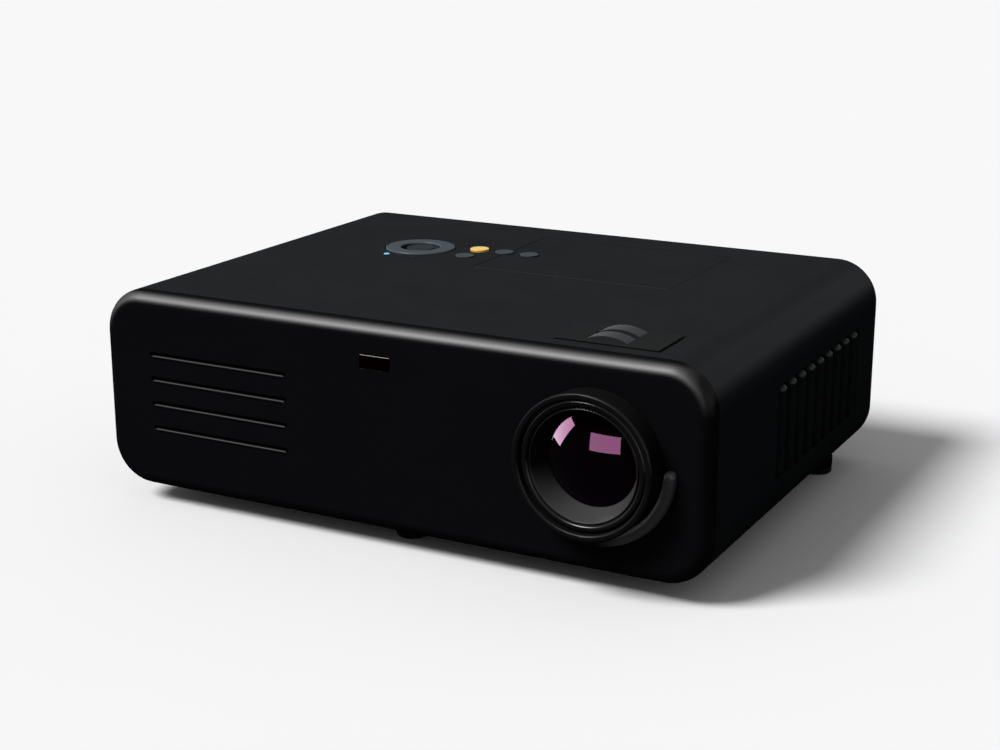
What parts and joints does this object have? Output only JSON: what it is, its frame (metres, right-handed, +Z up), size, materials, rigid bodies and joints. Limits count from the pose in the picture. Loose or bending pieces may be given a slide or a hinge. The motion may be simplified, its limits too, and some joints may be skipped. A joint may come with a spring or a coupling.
{
  "type": "desktop projector",
  "caption": "Low box-shaped desktop projector with a recessed lens, louvred front, side vents, thumbwheels, control pad, lamp hatch and screw feet.",
  "frame": {"origin": "middle of the footprint, on the surface that the feet stand on", "axes": "+X to the right seen from the front (the lens side), the lens faces -Y, +Z up"},
  "size_m": [0.3024, 0.2358, 0.1048],
  "materials": {
    "case_black": "fine textured near-black moulding",
    "bezel_black": "smooth satin near-black moulding",
    "hood_black": "satin black lens hood",
    "cell_black": "black anodised lens cell",
    "glass_coated": "multi-coated optical glass",
    "window_red": "dark red infrared filter",
    "wheel_grey": "mid-grey moulded thumbwheel",
    "plate_black": "raised surround",
    "ring_slate": "slate grey control ring",
    "key_grey": "dark grey key",
    "key_amber": "amber power key",
    "led_cyan": "lit status lamp",
    "led_dim": "unlit status lamp",
    "rubber_black": "foot pad",
    "foot_black": "thumb screw",
    "steel": "zinc-plated",
    "brass_insert": "knurled insert",
    "aluminium_sink": "extruded fins",
    "cast_grey": "die-cast housing",
    "board_green": "solder-masked board",
    "nylon_black": "glass-filled nylon",
    "component_grey": "components",
    "heat_white": "heat-resistant lamp housing",
    "reflector_glass": "coated reflector",
    "quartz": "quartz burner",
    "socket_blue": "video socket",
    "socket_black": "socket bodies",
    "filter_glass": "colour wheel segments"
  },
  "bodies": {
    "root": {"front_bezel": "bezel_black", "ir_window": "window_red", "top_cover": "case_black", "bottom_case": "case_black", "case_screws": "steel", "mount_inserts": "brass_insert", "rear_panel": "case_black", "vga_sockets": "socket_blue", "av_sockets": "socket_black", "power_inlet": "socket_black", "main_board": "board_green", "right_vent": "case_black", "left_vent": "case_black", "wheel_plate": "plate_black", "wheel_shaft": "steel", "wheel_bracket": "nylon_black", "lens_hood": "hood_black", "lens_barrel": "nylon_black", "key_deck": "nylon_black", "key_board": "board_green", "power_led": "led_cyan", "alert_leds": "led_dim", "intake_fan_frame": "nylon_black", "lamp_fan_frame": "nylon_black", "lamp_housing": "heat_white", "lamp_reflector": "reflector_glass", "lamp_burner": "quartz", "engine_housing": "cast_grey", "light_rod": "quartz", "colour_motor": "steel", "imager_heatsink": "aluminium_sink", "power_board": "board_green", "power_parts": "component_grey", "lamp_ballast": "component_grey"},
    "menu_key": {"menu_key": "key_grey"},
    "power_key": {"power_key": "key_amber"},
    "source_key": {"source_key": "key_grey"},
    "auto_key": {"auto_key": "key_grey"},
    "select_button": {"select_button": "ring_slate"},
    "pad_gimbal": {"pad_gimbal": "nylon_black"},
    "control_ring": {"control_ring": "ring_slate"},
    "lamp_cover": {"lamp_cover": "case_black"},
    "focus_wheel": {"focus_wheel": "wheel_grey"},
    "zoom_wheel": {"zoom_wheel": "wheel_grey"},
    "focus_ring": {"focus_ring": "nylon_black"},
    "zoom_ring": {"zoom_ring": "nylon_black"},
    "colour_wheel": {"colour_wheel": "filter_glass"},
    "intake_fan_rotor": {"intake_fan_rotor": "nylon_black"},
    "lamp_fan_rotor": {"lamp_fan_rotor": "nylon_black"},
    "focus_cell": {"lens_cell": "cell_black", "front_lens": "glass_coated"},
    "zoom_carriage": {"zoom_cell": "cell_black", "zoom_lens": "glass_coated"},
    "front_foot_pad": {"front_foot_pad": "rubber_black"},
    "front_foot_screw": {"front_foot_screw": "foot_black"},
    "rear_left_foot_pad": {"rear_left_foot_pad": "rubber_black"},
    "rear_left_foot_screw": {"rear_left_foot_screw": "foot_black"},
    "rear_right_foot_pad": {"rear_right_foot_pad": "rubber_black"},
    "rear_right_foot_screw": {"rear_right_foot_screw": "foot_black"}
  },
  "joints": [
    {"name": "menu_key_press", "type": "slide", "parent": "root", "child": "menu_key", "axis": [0, 0, -1], "range_m": [0, 0.0009], "stiffness_N_per_m": 100, "springref_m": -0.002},
    {"name": "power_key_press", "type": "slide", "parent": "root", "child": "power_key", "axis": [0, 0, -1], "range_m": [0, 0.0009], "stiffness_N_per_m": 100, "springref_m": -0.002},
    {"name": "source_key_press", "type": "slide", "parent": "root", "child": "source_key", "axis": [0, 0, -1], "range_m": [0, 0.0009], "stiffness_N_per_m": 100, "springref_m": -0.002},
    {"name": "auto_key_press", "type": "slide", "parent": "root", "child": "auto_key", "axis": [0, 0, -1], "range_m": [0, 0.0009], "stiffness_N_per_m": 100, "springref_m": -0.002},
    {"name": "select_button_press", "type": "slide", "parent": "root", "child": "select_button", "axis": [0, 0, -1], "range_m": [0, 0.0008], "stiffness_N_per_m": 100, "springref_m": -0.002},
    {"name": "control_ring_up_down", "type": "hinge", "parent": "root", "child": "pad_gimbal", "pos_m": [-0.065, 0.03985, 0.094], "axis": [1, 0, 0], "range_deg": [-2, 2], "stiffness_Nm_per_rad": 0.05},
    {"name": "control_ring_left_right", "type": "hinge", "parent": "pad_gimbal", "child": "control_ring", "pos_m": [-0.065, 0.03985, 0.094], "axis": [0, 1, 0], "range_deg": [-2, 2], "stiffness_Nm_per_rad": 0.05},
    {"name": "lamp_cover_lift", "type": "slide", "parent": "root", "child": "lamp_cover", "axis": [0, 0, 1], "range_m": [0, 0.03]},
    {"name": "focus_slide", "type": "slide", "parent": "root", "child": "focus_cell", "axis": [0, 1, 0], "range_m": [-0.0007, 0.0007]},
    {"name": "focus_wheel_turn", "type": "hinge", "parent": "root", "child": "focus_wheel", "pos_m": [0.0963, -0.08135, 0.08334], "axis": [0, 1, 0], "range_deg": [-34.3, 34.3]},
    {"name": "focus_ring_turn", "type": "hinge", "parent": "root", "child": "focus_ring", "pos_m": [0.0999, -0.08135, 0.0584], "axis": [0, 1, 0], "range_deg": [-14, 14]},
    {"name": "zoom_slide", "type": "slide", "parent": "root", "child": "zoom_carriage", "axis": [0, 1, 0], "range_m": [-0.003, 0.003]},
    {"name": "zoom_wheel_turn", "type": "hinge", "parent": "root", "child": "zoom_wheel", "pos_m": [0.0963, -0.07035, 0.08334], "axis": [0, 1, 0], "range_deg": [-34.3, 34.3]},
    {"name": "zoom_ring_turn", "type": "hinge", "parent": "root", "child": "zoom_ring", "pos_m": [0.0999, -0.07035, 0.0584], "axis": [0, 1, 0], "range_deg": [-14, 14]},
    {"name": "front_foot_travel", "type": "slide", "parent": "root", "child": "front_foot_pad", "axis": [0, 0, -1], "range_m": [0, 0.01]},
    {"name": "front_foot_turn", "type": "hinge", "parent": "front_foot_pad", "child": "front_foot_screw", "pos_m": [0, -0.07965, 0], "axis": [0, 0, -1], "range_deg": [-3, 1803]},
    {"name": "rear_left_foot_travel", "type": "slide", "parent": "root", "child": "rear_left_foot_pad", "axis": [0, 0, -1], "range_m": [0, 0.01]},
    {"name": "rear_left_foot_turn", "type": "hinge", "parent": "rear_left_foot_pad", "child": "rear_left_foot_screw", "pos_m": [-0.132, 0.08835, 0], "axis": [0, 0, -1], "range_deg": [-3, 1803]},
    {"name": "rear_right_foot_travel", "type": "slide", "parent": "root", "child": "rear_right_foot_pad", "axis": [0, 0, -1], "range_m": [0, 0.01]},
    {"name": "rear_right_foot_turn", "type": "hinge", "parent": "rear_right_foot_pad", "child": "rear_right_foot_screw", "pos_m": [0.132, 0.08835, 0], "axis": [0, 0, -1], "range_deg": [-3, 1803]},
    {"name": "intake_fan_spin", "type": "hinge", "parent": "root", "child": "intake_fan_rotor", "pos_m": [-0.0862, -0.09065, 0.0542], "axis": [0, 1, 0], "continuous": true},
    {"name": "lamp_fan_spin", "type": "hinge", "parent": "root", "child": "lamp_fan_rotor", "pos_m": [0.122, 0.04735, 0.0542], "axis": [1, 0, 0], "continuous": true},
    {"name": "colour_wheel_spin", "type": "hinge", "parent": "root", "child": "colour_wheel", "pos_m": [0.042, -0.00265, 0.0744], "axis": [0, 1, 0], "continuous": true}
  ],
  "couplings": [
    {"joint": "focus_wheel_turn", "follows": "focus_slide", "rad_per_m": 847.73},
    {"joint": "focus_ring_turn", "follows": "focus_slide", "rad_per_m": -339.09},
    {"joint": "zoom_wheel_turn", "follows": "zoom_slide", "rad_per_m": 197.8},
    {"joint": "zoom_ring_turn", "follows": "zoom_slide", "rad_per_m": -79.122},
    {"joint": "front_foot_turn", "follows": "front_foot_travel", "rad_per_m": 3141.6},
    {"joint": "rear_left_foot_turn", "follows": "rear_left_foot_travel", "rad_per_m": 3141.6},
    {"joint": "rear_right_foot_turn", "follows": "rear_right_foot_travel", "rad_per_m": 3141.6}
  ]
}
